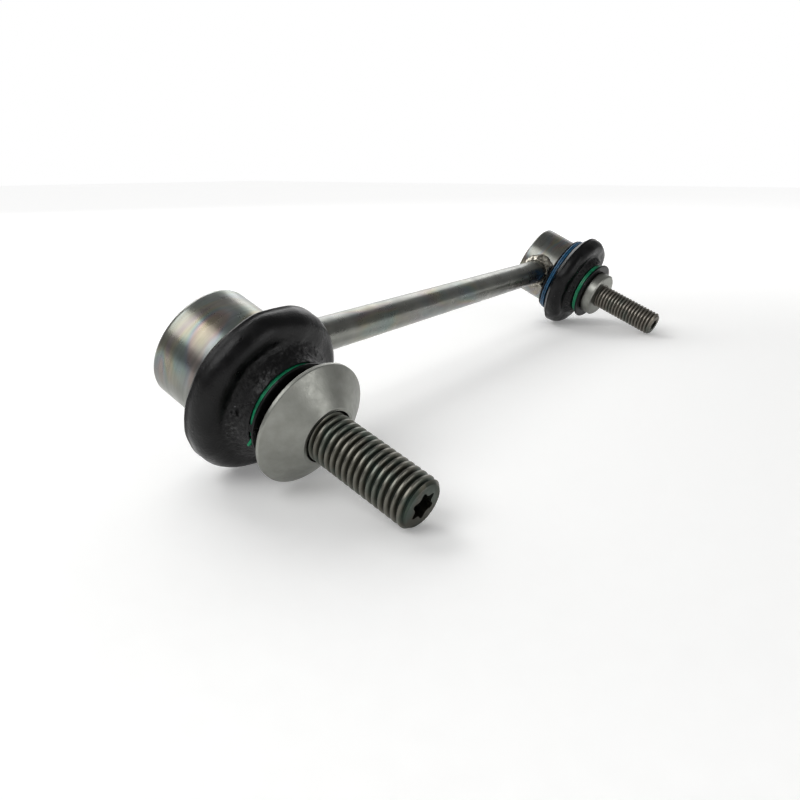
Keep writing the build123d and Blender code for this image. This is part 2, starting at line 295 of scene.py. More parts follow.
def socket_cutter(sizes):
    """A six-lobed bar: a circle whose points are moved in between the lobes, then pulled down."""
    clear_selection()
    outer = sizes["socket"] / 2
    inner = outer * SOCKET_CORE_SHARE
    mouth = (0, 0, (sizes["end"] + OVERSHOOT) * MM)
    bpy.ops.mesh.primitive_circle_add(
        vertices=SOCKET_SIDES, radius=outer * MM, location=mouth, fill_type="NGON",
    )
    cutter = bpy.context.object
    bpy.ops.object.transform_apply()
    for vertex in cutter.data.vertices:
        lobe = (0.5 + 0.5 * math.cos(6 * math.atan2(vertex.co.y, vertex.co.x))) ** LOBE_SHARPNESS
        share = (inner + (outer - inner) * lobe) / outer
        vertex.co.x *= share
        vertex.co.y *= share
    bpy.ops.object.mode_set(mode="EDIT")
    bpy.ops.mesh.select_all(action="SELECT")
    for depth in (SOCKET_DEPTH + OVERSHOOT, SOCKET_TIP):
        bpy.ops.mesh.extrude_region_move(TRANSFORM_OT_translate={"value": (0, 0, -depth * MM)})
    bpy.ops.transform.resize(value=(SOCKET_TIP_SHARE, SOCKET_TIP_SHARE, 1))
    bpy.ops.object.mode_set(mode="OBJECT")
    mend_mesh(cutter)
    return cutter


def cut_with(piece, tool, operation):
    apply_modifier(piece, "BOOLEAN", object=tool, operation=operation, solver="EXACT")
    bpy.data.objects.remove(tool)


for end in ENDS:
    cut_with(stud[end], end_blank(STUDS[end]), "INTERSECT")
    cut_with(stud[end], socket_cutter(STUDS[end]), "DIFFERENCE")
    print(stud[end].name, "is finished with", len(stud[end].data.polygons), "faces")


# %% [markdown]
# The shank behind the thread is one turned line: the ball with its flat, the neck, the
# taper, the seat for the boot and the grip for the flange or collar. Each point of a stud
# then learns how deep it lies in the thread, because the grooves keep their dark coating
# while the crests are rubbed bright.

# %% Ball, neck and grip
BALL_FLAT_RADIUS = 3.0


def stud_shaft(sizes):
    """The turned part of a stud, from the ball to where the thread starts."""
    taper_end = sizes["shoulder"] - BOOT_SEAT_LENGTH
    thread_radius = sizes["thread"] / 2
    grip = thread_radius + GRIP_STEP
    root = thread_radius - ROOT_DEPTH_SHARE * sizes["pitch"]
    ball_flat = math.degrees(math.acos(BALL_FLAT_RADIUS / BALL_RADIUS))
    neck_meets_ball = math.degrees(math.acos(NECK_RADIUS / BALL_RADIUS))
    outline = [(0, -BALL_RADIUS * math.sin(math.radians(ball_flat)))]
    outline += arc((0, 0), BALL_RADIUS, -ball_flat, neck_meets_ball, 22)
    outline += [
        (NECK_RADIUS, NECK_LENGTH),
        (BOOT_SEAT_RADIUS, taper_end),
        (BOOT_SEAT_RADIUS, sizes["shoulder"] - 0.2),
        (BOOT_SEAT_RADIUS - 0.2, sizes["shoulder"]),
        (grip, sizes["shoulder"]),
        (grip, sizes["start"] - GRIP_RUN_OUT),
        (root, sizes["start"]),
        (root, sizes["start"] + 2.0),
        (0, sizes["start"] + 2.0),
    ]
    shaft = draw_line("shaft", outline)
    lathe(shaft, THREAD_SIDES)
    return shaft


def join(piece, others):
    clear_selection()
    for other in others:
        other.select_set(True)
    piece.select_set(True)
    bpy.context.view_layer.objects.active = piece
    bpy.ops.object.join()


END_FACE_SHARE = 0.45  # the end face counts as half rubbed


def mark_depth(piece, sizes):
    """Stores how high each point stands in the thread, from 0 in the root to 1 on the crest."""
    crest = sizes["thread"] / 2
    root = crest - ROOT_DEPTH_SHARE * sizes["pitch"]
    height = piece.data.attributes.new("thread_height", "FLOAT", "POINT")
    for vertex in piece.data.vertices:
        radius = vertex.co.xy.length / MM
        in_thread = vertex.co.z / MM < sizes["end"] - 0.01
        share = (radius - root) / (crest - root) if in_thread else END_FACE_SHARE
        height.data[vertex.index].value = min(max(share, 0), 1)


for end in ENDS:
    join(stud[end], [stud_shaft(STUDS[end])])
    mark_depth(stud[end], STUDS[end])
    pick(stud[end])
    bpy.ops.object.shade_smooth_by_angle(angle=math.radians(STUD_SMOOTH_ANGLE))
    put_in_place(stud[end], stud_frame[end])
    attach(stud[end], end + "_stud")
    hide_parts(end + "_ball_stud")
    print(stud[end].name, "rides on", end + "_stud")

# %% [markdown]
# The boots are moulded rubber. Each is one skin of revolution: a band under the clip on the
# cup, a wide bulge with a seam where the mould parts, a cone that narrows to the neck, and a
# groove in the neck for the second clip. The outline is drawn once round, outside and back
# inside, and turned. The third value of each point says how far it follows the stud's lean,
# 0 on the cup and 1 on the stud. It travels with the mesh as an attribute through the
# turning and subdividing.

# %% Sizes of the boots
BOOT_SIDES = 72
GROOVE_RADIUS = 14.25
BAND_RADIUS = 15.9
BAND_LIP = 0.8
BAND_START = 0.0
CUP_CLIP_START = 0.9
CUP_CLIP_END = 3.3
SKIN = 1.6
NECK_BORE = 8.8
NECK_GROOVE = 10.2
CLIP_GAP = 0.3
NECK_CLIP_WIDTH = 2.2
END_LIP = 1.0
END_LIP_HEIGHT = 2.5
SEAM_HEIGHT = 0.35
SEAM_ANGLE = -22
BOOTS = {
    "m12": {"bulge": (16.5, 7.2), "radius": 4.5, "first": -76, "last": 84, "follow": 0.62},
    "m10": {"bulge": (16.8, 8.3), "radius": 3.9, "first": -100, "last": 104, "follow": 0.5},
}
# The skin from the bulge to the neck clip, outside: (radius, height, share of the lean). The
# near one runs on as a flap over the clip's first turn. The far one stops behind the clip.
CONES = {
    "m12": [
        (15.7, 11.95, 0.7), (14.9, 12.4, 0.76), (14.2, 12.95, 0.8), (13.6, 13.6, 0.84),
        (13.1, 14.3, 0.88), (12.7, 15.1, 0.91), (12.35, 16.0, 0.94), (12.2, 16.9, 0.97),
        (12.05, 17.2, 0.98), (11.8, 17.15, 0.99), (11.75, 16.4, 1), (11.0, 16.2, 1),
    ],
    "m10": [
        (15.0, 12.0, 0.58), (14.2, 12.35, 0.64), (13.6, 13.0, 0.78), (13.1, 13.8, 0.84),
        (12.6, 14.6, 0.9), (12.1, 15.2, 0.94), (11.7, 15.45, 0.97), (11.0, 15.45, 0.99),
    ],
}
INNER_CONES = {
    "m12": [(9.3, 15.0, 0.95), (12.0, 13.0, 0.85), (13.6, 10.6, 0.72)],
    "m10": [(9.3, 14.2, 0.95), (12.2, 13.0, 0.85), (13.8, 11.0, 0.72)],
}


# %% Outline of a boot
def bulge_line(shape):
    """The outside of the bulge, from the cup's side over the seam to the cone."""
    centre = shape["bulge"]
    radius = shape["radius"]
    back = arc(centre, radius, shape["first"], SEAM_ANGLE - 8, 5)
    seam = arc(centre, radius + SEAM_HEIGHT, SEAM_ANGLE - 2, SEAM_ANGLE + 2, 2)
    front = arc(centre, radius, SEAM_ANGLE + 8, shape["last"], 9)
    return back + seam + front


def boot_outline(end):
    """Points (radius, height, share of the lean), outside and then inside."""
    shape = BOOTS[end]
    follow = shape["follow"]
    clip_end = STUDS[end]["shoulder"] - CLIP_GAP - END_LIP
    clip_start = clip_end - NECK_CLIP_WIDTH
    band_lip = BAND_RADIUS + BAND_LIP
    outside = [
        (GROOVE_RADIUS, BAND_START, 0),
        (GROOVE_RADIUS + 0.2, BAND_START, 0),
        (band_lip - 0.2, BAND_START, 0),
        (band_lip, BAND_START + 0.15, 0),
        (band_lip, CUP_CLIP_START - 0.25, 0),
        (band_lip - 0.15, CUP_CLIP_START - 0.05, 0),
        (BAND_RADIUS, CUP_CLIP_START, 0),
        (BAND_RADIUS, CUP_CLIP_END, 0),
        (band_lip, CUP_CLIP_END + 0.1, 0.05),
        (band_lip + 0.2, CUP_CLIP_END + 0.5, 0.15),
    ]
    bulge_leans = [0.5 * follow, 0.8 * follow] + [follow] * 14
    outside += [(r, h, lean) for (r, h), lean in zip(bulge_line(shape), bulge_leans)]
    lip = NECK_GROOVE + END_LIP_HEIGHT
    outside += CONES[end]
    outside += [
        (NECK_GROOVE, clip_start, 1),
        (NECK_GROOVE, clip_end, 1),
        (lip - 0.3, clip_end + 0.05, 1),
        (lip, clip_end + 0.25, 1),
        (lip, clip_end + END_LIP - 0.15, 1),
        (lip - 0.2, clip_end + END_LIP, 1),
    ]
    inside = [
        (NECK_BORE + 0.2, clip_end + END_LIP, 1),
        (NECK_BORE, clip_end + END_LIP - 0.2, 1),
        (NECK_BORE, clip_start, 1),
    ]
    inside += INNER_CONES[end]
    inner_bulge = arc(shape["bulge"], shape["radius"] - SKIN, 106, -55, 7)
    inside += [(r, h, follow) for r, h in inner_bulge[:6]]
    inside += [(r, h, 0.5 * follow) for r, h in inner_bulge[6:]]
    inside += [
        (GROOVE_RADIUS + SKIN - 0.3, CUP_CLIP_END + 1.2, 0.1),
        (GROOVE_RADIUS, CUP_CLIP_END + 0.9, 0),
        (GROOVE_RADIUS, BAND_START + 0.2, 0),
        (GROOVE_RADIUS, BAND_START, 0),
    ]
    return outside + inside


# %% Boot meshes
def boot_skin(end):
    outline = boot_outline(end)
    piece = draw_line(end + "_rubber_boot", [(r, h) for r, h, _ in outline])
    lean = piece.data.attributes.new("lean", "FLOAT", "POINT")
    for i, point in enumerate(outline):
        lean.data[i].value = point[2]
    lathe(piece, BOOT_SIDES)
    apply_modifier(piece, "SUBSURF", levels=2, render_levels=2)
    print(piece.name, "has", len(piece.data.polygons), "faces")
    return piece


boot = {end: boot_skin(end) for end in ENDS}

# %% [markdown]
# Rubber never stays as round as its mould. Slow noise pushes soft dents into the bulge, and
# quick noise roughens the cone beside the neck, where the boot is creased with each swing.
# The near boot also has the pip that its mould left. Both boots then lean with their studs,
# and are pressed flat where they would reach through the table.

# %% Dents, the crept skin and the mould's pip
DENT_SIZE = 10.0
DENT_DEPTH = {"m12": 0.4, "m10": 0.6}
DENT_SEED = {"m12": Vector((3.7, 1.2, 8.5)), "m10": Vector((0.4, 6.6, 2.1))}
FIXED_SHARE = 0.05  # skin that follows the lean less than this sits on the cup and isn't dented
ROUGH_SIZE = 1.3
ROUGH_DEPTH = 0.15
PIP = {"turn": 313.5, "radius": 13.7, "height": 13.5, "width": 1.3, "rise": 0.75}
OVER_CLIP = ((324.5, 6.0), (378.0, 34.0))  # turns and half widths where skin covers the near clip
OVER_CLIP_RADIUS = 12.0


def dent(piece, end):
    """Moves each point along its normal by noise, by how far it follows the lean."""
    shares = piece.data.attributes["lean"].data
    shifts = []
    for vertex in piece.data.vertices:
        share = shares[vertex.index].value
        on_bulge = smooth_step(share, 0.25, 0.5) * (1 - smooth_step(share, 0.85, 0.95))
        on_neck = smooth_step(share, 0.62, 0.8) * (1 - smooth_step(share, 0.96, 1.0))
        place = vertex.co / MM
        slow = noise.noise(place / DENT_SIZE + DENT_SEED[end])
        soft = slow + 0.4 * noise.noise(place / DENT_SIZE * 2.3 + DENT_SEED[end])
        rough = noise.noise(place / ROUGH_SIZE) + 0.6 * noise.noise(place / ROUGH_SIZE * 2)
        shift = on_bulge * DENT_DEPTH[end] * soft + (0.12 + on_neck) * ROUGH_DEPTH * rough
        shifts.append(vertex.normal * shift * MM if share > FIXED_SHARE else Vector())
    for vertex, shift in zip(piece.data.vertices, shifts):
        vertex.co += shift


def creep_over_clip(piece, end):
    """Fills the neck's groove with skin, over the wire, where the photograph shows it hidden."""
    clip_end = STUDS[end]["shoulder"] - CLIP_GAP - END_LIP
    for vertex in piece.data.vertices:
        radius = vertex.co.xy.length / MM
        height = vertex.co.z / MM
        in_groove = smooth_step(height, clip_end - 3.4, clip_end - 2.4)
        if in_groove == 0 or radius < NECK_GROOVE - 0.2 or radius > OVER_CLIP_RADIUS:
            continue
        turn = math.degrees(math.atan2(vertex.co.y, vertex.co.x)) % 360
        covered = 0
        for middle, half_width in OVER_CLIP:
            away = abs((turn - middle + 180) % 360 - 180)
            covered = max(covered, 1 - smooth_step(away, half_width * 0.75, half_width))
        wanted = radius + (OVER_CLIP_RADIUS - radius) * covered * in_groove
        vertex.co.x *= wanted / radius
        vertex.co.y *= wanted / radius


def add_pip(piece):
    """Raises a small dome with a dimple in it, as an injection point leaves it."""
    turn = math.radians(PIP["turn"])
    centre = Vector((PIP["radius"] * math.cos(turn), PIP["radius"] * math.sin(turn), PIP["height"]))
    facing = Vector((math.cos(turn), math.sin(turn), 1)).normalized()
    beside = centre + Vector((-math.sin(turn), math.cos(turn), 0)) * PIP["width"] * 0.5
    for vertex in piece.data.vertices:
        place = vertex.co / MM
        away = (place - centre).length
        if away > 2 * PIP["width"] or vertex.normal.dot(facing) < 0:
            continue
        ring = math.exp(-((away - 0.8 * PIP["width"]) / (0.35 * PIP["width"])) ** 2)
        dome = max(1 - (away / PIP["width"]) ** 2, 0)
        hollow = math.exp(-((place - beside).length / (0.42 * PIP["width"])) ** 2)
        vertex.co += facing * PIP["rise"] * (dome - 0.25 * ring - 0.8 * hollow) * MM


TABLE_GAP = 0.02


def lean_skin(piece, end):
    """Turns each point about the swing's hinge by its share of the stud's lean."""
    shares = piece.data.attributes["lean"].data
    for vertex in piece.data.vertices:
        turn = Matrix.Rotation(swing_angle[end] * shares[vertex.index].value, 3, "X")
        vertex.co = turn @ vertex.co


def lay_down(piece):
    """Presses flat what would reach through the table."""
    for vertex in piece.data.vertices:
        vertex.co.z = max(vertex.co.z, TABLE_GAP * MM)


add_pip(boot["m12"])
creep_over_clip(boot["m12"], "m12")
for end in ENDS:
    dent(boot[end], end)
    lean_skin(boot[end], end)
    put_in_place(boot[end], cup_frame[end])
    lay_down(boot[end])
    pick(boot[end])
    bpy.ops.object.shade_smooth()
    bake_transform(boot[end])
    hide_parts(end + "_boot")

# %% [markdown]
# Each boot is held by two clips of flat lacquered wire, wound nearly twice round. The wire's
# section is turned and lifted like a thread. Its last face is then pulled out twice, and
# leaves the short bent end that a fitter grips to put the clip on.

# %% Wire clips
WIRE_WIDTH = 0.76
WIRE_ANGLE = 684.0  # nearly two turns
CUP_CLIP_THICKNESS = 1.2
NECK_CLIP_THICKNESS = 1.1
WIRE_CORNER = 0.16
WIRE_STEPS = 190
WIRE_SMOOTH_ANGLE = 35
CUP_CLIP_GAP = 0.05
FREE_END = ((1.5, 0.35), (1.5, 1.1))  # the length and the steepness of its two bends


def wire_section(inner, thickness, start):
    outer = inner + thickness
    top = start + WIRE_WIDTH
    c = WIRE_CORNER
    return [
        (inner, start + c), (inner + c, start), (outer - c, start), (outer, start + c),
        (outer, top - c), (outer - c, top), (inner + c, top), (inner, top - c), (inner, start + c),
    ]


def bend_free_end(piece):
    """Pulls out the coil's last face, first along the turn and outwards, then more steeply out."""
    caps = [face for face in piece.data.polygons if len(face.vertices) > 4]
    last = max(caps, key=lambda face: face.center.z)
    last_index = last.index
    along = last.normal.normalized()
    outwards = Vector((last.center.x, last.center.y, 0)).normalized()
    pick(piece)
    bpy.ops.object.mode_set(mode="EDIT")
    bpy.ops.mesh.select_mode(type="FACE")
    bpy.ops.mesh.select_all(action="DESELECT")
    bpy.ops.object.mode_set(mode="OBJECT")
    piece.data.polygons[last_index].select = True
    bpy.ops.object.mode_set(mode="EDIT")
    for length, steepness in FREE_END:
        step = (along + outwards * steepness).normalized() * length * MM
        bpy.ops.mesh.extrude_region_move(TRANSFORM_OT_translate={"value": step})
    bpy.ops.mesh.select_mode(type="VERT")
    bpy.ops.object.mode_set(mode="OBJECT")


def wire_clip(name, inner, thickness, span, end_turn):
    """A coil of nearly two turns between two heights, its free end at an angle round the axis."""
    piece = draw_line(name, wire_section(inner, thickness, span[0]))
    lathe(piece, WIRE_STEPS, rise=span[1] - span[0] - WIRE_WIDTH, angle=WIRE_ANGLE)
    bpy.ops.object.mode_set(mode="EDIT")
    bpy.ops.mesh.select_all(action="SELECT")
    bpy.ops.mesh.fill_holes(sides=0)
    bpy.ops.mesh.normals_make_consistent(inside=False)
    bpy.ops.object.mode_set(mode="OBJECT")
    bend_free_end(piece)
    put_in_place(piece, Matrix.Rotation(math.radians(end_turn - WIRE_ANGLE), 4, "Z"))
    pick(piece)
    bpy.ops.object.shade_smooth_by_angle(angle=math.radians(WIRE_SMOOTH_ANGLE))
    return piece


FREE_END_TURN = {"m12": 331.0, "m10": 120.0}
CUP_FREE_END_TURN = {"m12": 150.0, "m10": 132.0}
blue_clip = {}
green_clip = {}
for end in ENDS:
    cup_span = (CUP_CLIP_START, CUP_CLIP_END)
    inner = BAND_RADIUS + CUP_CLIP_GAP
    turn = CUP_FREE_END_TURN[end]
    blue_clip[end] = wire_clip(end + "_blue_wire", inner, CUP_CLIP_THICKNESS, cup_span, turn)
    put_in_place(blue_clip[end], cup_frame[end])
    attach(blue_clip[end], "link")
    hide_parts(end + "_cup_clip")
    clip_end = STUDS[end]["shoulder"] - CLIP_GAP - END_LIP
    neck_span = (clip_end - NECK_CLIP_WIDTH, clip_end)
    inner = NECK_GROOVE + CLIP_GAP
    turn = FREE_END_TURN[end]
    green_clip[end] = wire_clip(end + "_green_wire", inner, NECK_CLIP_THICKNESS, neck_span, turn)
    put_in_place(green_clip[end], stud_frame[end])
    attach(green_clip[end], end + "_boot_neck")
    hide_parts(end + "_neck_clip")
    for clip in (blue_clip[end], green_clip[end]):
        print(clip.name, "has", len(clip.data.polygons), "faces")

# %% [markdown]
# A weld is a row of small frozen waves. The CAD bead gives its place and size. A copy of it
# is rebuilt as even small faces, and moved by noise and by ripples that run round the rod,
# so that it looks poured on and not turned.

# %% Weld beads
WELD_GRAIN = 0.4
WELD_LUMP_SIZE = 2.4
WELD_LUMP_DEPTH = 0.4
WELD_RIPPLE = 0.12
WELD_RIPPLE_SPACING = 1.1
WELD_RADIUS = 6.5


def weld_bead(end):
    piece = nodes[end + "_weld"].copy()
    piece.data = piece.data.copy()
    piece.name = end + "_weld_bead"
    piece.data.name = piece.name
    bpy.context.scene.collection.objects.link(piece)
    mend_mesh(piece, 0.005)
    apply_modifier(piece, "REMESH", mode="VOXEL", voxel_size=WELD_GRAIN * MM)
    apply_modifier(piece, "SMOOTH", iterations=4, factor=0.5)
    middle = sum((vertex.co for vertex in piece.data.vertices), Vector()) / len(piece.data.vertices)
    shifts = []
    for vertex in piece.data.vertices:
        place = vertex.co / MM
        around = math.atan2(vertex.co.z - middle.z, vertex.co.y - middle.y)
        lump = noise.noise(place / WELD_LUMP_SIZE) + 0.5 * noise.noise(place / WELD_LUMP_SIZE * 2.7)
        wave = around * WELD_RADIUS / WELD_RIPPLE_SPACING * 2
        ripple = math.sin(wave + 2 * noise.noise(place / 3))
        shifts.append(vertex.normal * (WELD_LUMP_DEPTH * lump + WELD_RIPPLE * ripple) * MM)
    for vertex, shift in zip(piece.data.vertices, shifts):
        vertex.co += shift
    pick(piece)
    bpy.ops.object.shade_smooth()
    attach(piece, "link")
    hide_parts(end + "_weld")
    print(piece.name, "has", len(piece.data.polygons), "faces")
    return piece


weld = {end: weld_bead(end) for end in ENDS}

# %% [markdown]
# A few helpers keep the materials short. One turns a hex colour, as a colour picker shows it,
# into the linear values that a shader adds and mixes. One adds a node with its settings and
# its links, and hands back one of its outputs. Patterns are sized in millimetres: Object
# coordinates are in metres, so a noise of scale 1000 has cells of 1 mm.

# %% Helpers for materials
def linear(hex_colour):
    """An sRGB hex colour as linear red, green, blue and alpha."""
    channels = [int(hex_colour[i:i + 2], 16) / 255 for i in (1, 3, 5)]
    light = [c / 12.92 if c <= 0.04045 else ((c + 0.055) / 1.055) ** 2.4 for c in channels]
    return (*light, 1.0)


def cells(size):
    """The scale at which a pattern's cells are size mm."""
    return 1 / (size * MM)


def new_material(name):
    material = bpy.data.materials.new(name)
    material.use_nodes = True
    return material


def set_inputs(tree, node, inputs):
    """Sets sockets, or links them where the value is another node's output. _2 is the third one."""
    for key, value in inputs.items():
        socket = node.inputs[int(key[1:])] if key[0] == "_" else node.inputs[key.replace("_", " ")]
        if isinstance(value, bpy.types.NodeSocket):
            tree.links.new(value, socket)
        else:
            socket.default_value = value


def add_node(material, kind, output=0, settings=None, stops=None, **inputs):
    """Adds a node and gives one of its outputs. Stops are a ramp's (place, hex colour) pairs."""
    made = material.node_tree.nodes.new("ShaderNode" + kind)
    for key, value in (settings or {}).items():
        setattr(made, key, value)
    for i, (place, colour) in enumerate(stops or []):
        element = made.color_ramp.elements[i] if i < 2 else made.color_ramp.elements.new(place)
        element.position = place
        element.color = linear(colour)
    set_inputs(material.node_tree, made, inputs)
    return made.outputs[output]


def set_shader(material, **inputs):
    set_inputs(material.node_tree, material.node_tree.nodes["Principled BSDF"], inputs)


def dress(piece, material):
    piece.data.materials.clear()
    piece.data.materials.append(material)


def dress_node(name, material):
    for material_slot in nodes[name].material_slots:
        material_slot.material = material


MULTIPLY = {"operation": "MULTIPLY"}
MAXIMUM = {"operation": "MAXIMUM"}
CLAMPED_ADD = {"operation": "ADD", "use_clamp": True}
DOT_PRODUCT = {"operation": "DOT_PRODUCT"}
MULTIPLY_ADD = {"operation": "MULTIPLY_ADD"}
MIX_COLOURS = {"data_type": "RGBA"}
TINT_COLOURS = {"data_type": "RGBA", "blend_type": "MULTIPLY"}
MIXED = 2  # the Mix node's colour output
print("helpers for materials are ready")

# %% [markdown]
# The rod and the cups are zinc plated steel with a clear passivation. The film is thinner
# than a wavelength of light here and thicker there, so it tints the grey metal in bands, like
# oil on water: straw, pink, blue and teal. Slow, bent noise draws the bands, and a second
# noise lets them fade out. The metal was drawn or turned, which leaves lines of a few
# hundredths of a millimetre. They are drawn 0.5 mm wide, so that they show at all.

# %% Zinc plated steel
FILM_SIZE = 34.0
FILM_COLOURS = (
    (0.30, "#7f807a"), (0.37, "#8d8568"), (0.42, "#8b7673"), (0.46, "#6f7681"), (0.50, "#71837c"),
    (0.54, "#8b856c"), (0.58, "#867578"), (0.62, "#717d82"), (0.68, "#7f807a"),
)
ZINC_GREYS = ((0.35, "#787974"), (0.65, "#8b8c86"))


def zinc_plated_steel(name, grain_stretch, film_stretch, lean=0.0):
    """Film and grain are stretched along the piece's axes, which lean about X by some degrees."""
    material = new_material(name)
    place = add_node(material, "TexCoord", "Object")
    turned = add_node(material, "Mapping", Vector=place, Rotation=(math.radians(lean), 0, 0))
    along_film = add_node(material, "Mapping", Vector=turned, Scale=film_stretch)
    along_grain = add_node(material, "Mapping", Vector=turned, Scale=grain_stretch)

    film = add_node(
        material, "TexNoise", Vector=along_film, Scale=cells(FILM_SIZE), Detail=3.0, Distortion=0.6,
    )
    bands = add_node(material, "ValToRGB", stops=FILM_COLOURS, Fac=film)
    fading = add_node(material, "TexNoise", Vector=place, Scale=cells(16.0), Detail=3.0)
    share = add_node(
        material, "MapRange", Value=fading, From_Min=0.42, From_Max=0.66, To_Min=0.0, To_Max=0.8,
    )
    clouds = add_node(material, "TexNoise", Vector=place, Scale=cells(9.0), Detail=4.0)
    grey = add_node(material, "ValToRGB", stops=ZINC_GREYS, Fac=clouds)
    plated = add_node(material, "Mix", MIXED, MIX_COLOURS, _0=share, _6=grey, _7=bands)

    lines = add_node(material, "TexNoise", Vector=along_grain, Scale=cells(1.6), Detail=4.0)
    streaks = add_node(
        material, "MapRange", Value=lines, From_Min=0.3, From_Max=0.7, To_Min=0.86, To_Max=1.08,
    )
    colour = add_node(material, "Mix", MIXED, TINT_COLOURS, _0=1.0, _6=plated, _7=streaks)

    smears = add_node(material, "TexNoise", Vector=place, Scale=cells(5.0), Detail=4.0)
    roughness = add_node(
        material, "MapRange", Value=smears, From_Min=0.3, From_Max=0.7, To_Min=0.24, To_Max=0.36,
    )
    grain = add_node(material, "TexNoise", Vector=along_grain, Scale=cells(0.5), Detail=3.0)
    relief = add_node(material, "Bump", Height=grain, Distance=0.006 * MM)
    set_shader(material, Base_Color=colour, Metallic=1.0, Roughness=roughness, Normal=relief)
    return material


CUP_TILT = 25.0
rod_steel = zinc_plated_steel("zinc plated drawn steel", (0.03, 1, 1), (0.3, 2.0, 2.0))
cup_steel = zinc_plated_steel(
    "zinc plated turned steel", (0.12, 2.0, 0.12), (0.9, 3.0, 0.9), lean=-CUP_TILT,
)
dress_node("link_rod", rod_steel)
for end in ENDS:
    dress_node(end + "_cup", cup_steel)
    dress_node(end + "_cover_plate", cup_steel)
print("rod, cups and covers are plated")

# %% [markdown]
# The flange and the collar are bare steel, turned and then tumbled in a drum. Tumbling
# leaves a satin skin of tiny dents in place of the tool's rings. It scatters a highlight
# into a soft glow, which a roughness near 0.4 gives. The dents are far finer than a pixel,
# so they are drawn 0.4 mm wide.

# %% Tumbled bare steel
def bare_steel():
    material = new_material("bare tumbled steel")
    place = add_node(material, "TexCoord", "Object")
    clouds = add_node(material, "TexNoise", Vector=place, Scale=cells(3.0), Detail=5.0)
    colour = add_node(material, "ValToRGB", stops=((0.3, "#898a84"), (0.7, "#979892")), Fac=clouds)
    smears = add_node(material, "TexNoise", Vector=place, Scale=cells(1.2), Detail=4.0)
    roughness = add_node(
        material, "MapRange", Value=smears, From_Min=0.3, From_Max=0.7, To_Min=0.34, To_Max=0.46,
    )
    dents = add_node(material, "TexNoise", Vector=place, Scale=cells(0.4), Detail=2.0)
    relief = add_node(material, "Bump", Height=dents, Distance=0.03 * MM)
    set_shader(material, Base_Color=colour, Metallic=1.0, Roughness=roughness, Normal=relief)
    return material


satin_steel = bare_steel()
dress_node("m12_cone_flange", satin_steel)
dress_node("m10_collar", satin_steel)
for end in ENDS:
    dress_node(end + "_closing_ring", satin_steel)
print("flange, collar and closing rings are satin")

# %% [markdown]
# The studs are phosphated and oiled. The coating is a dark, slightly green grey in the
# thread's grooves. Handling has rubbed the crests down to brighter, browner steel, so the
# colour and the gloss follow the height in the thread that each point has stored. The
# coating's crystals are a hundredth of a millimetre wide, and are drawn as 0.25 mm pits.

# %% Phosphated steel
def phosphated_steel(name, root_colour, flank_colour, crest_colour):
    material = new_material(name)
    place = add_node(material, "TexCoord", "Object")
    height = add_node(material, "Attribute", "Fac", {"attribute_name": "thread_height"})
    stain = add_node(material, "TexNoise", Vector=place, Scale=cells(4.0), Detail=4.0)
    worn = add_node(material, "Math", 0, MULTIPLY_ADD, _0=stain, _1=0.4, _2=-0.2)
    level = add_node(material, "Math", 0, CLAMPED_ADD, _0=height, _1=worn)
    rubbed = ((0.0, root_colour), (0.55, flank_colour), (0.95, crest_colour))
    metal = add_node(material, "ValToRGB", stops=rubbed, Fac=level)
    oil = add_node(material, "TexNoise", Vector=place, Scale=cells(7.0), Detail=2.0, Distortion=0.6)
    oiled = add_node(
        material, "MapRange", Value=oil, From_Min=0.5, From_Max=0.68, To_Min=0.0, To_Max=0.35,
    )
    colour = add_node(material, "Mix", MIXED, MIX_COLOURS, _0=oiled, _6=metal, _7=linear("#3c5a55"))
    roughness = add_node(material, "MapRange", Value=level, To_Min=0.55, To_Max=0.36)
    pits = add_node(material, "TexNoise", Vector=place, Scale=cells(0.25), Detail=3.0)
    relief = add_node(material, "Bump", Height=pits, Distance=0.012 * MM)
    set_shader(material, Base_Color=colour, Metallic=1.0, Roughness=roughness, Normal=relief)
    return material


dress(stud["m12"], phosphated_steel("phosphated oiled steel", "#34352e", "#504f46", "#74726a"))
dress(stud["m10"], phosphated_steel("phosphated dry steel", "#5f5b53", "#736e66", "#88837b"))
print("studs are phosphated")
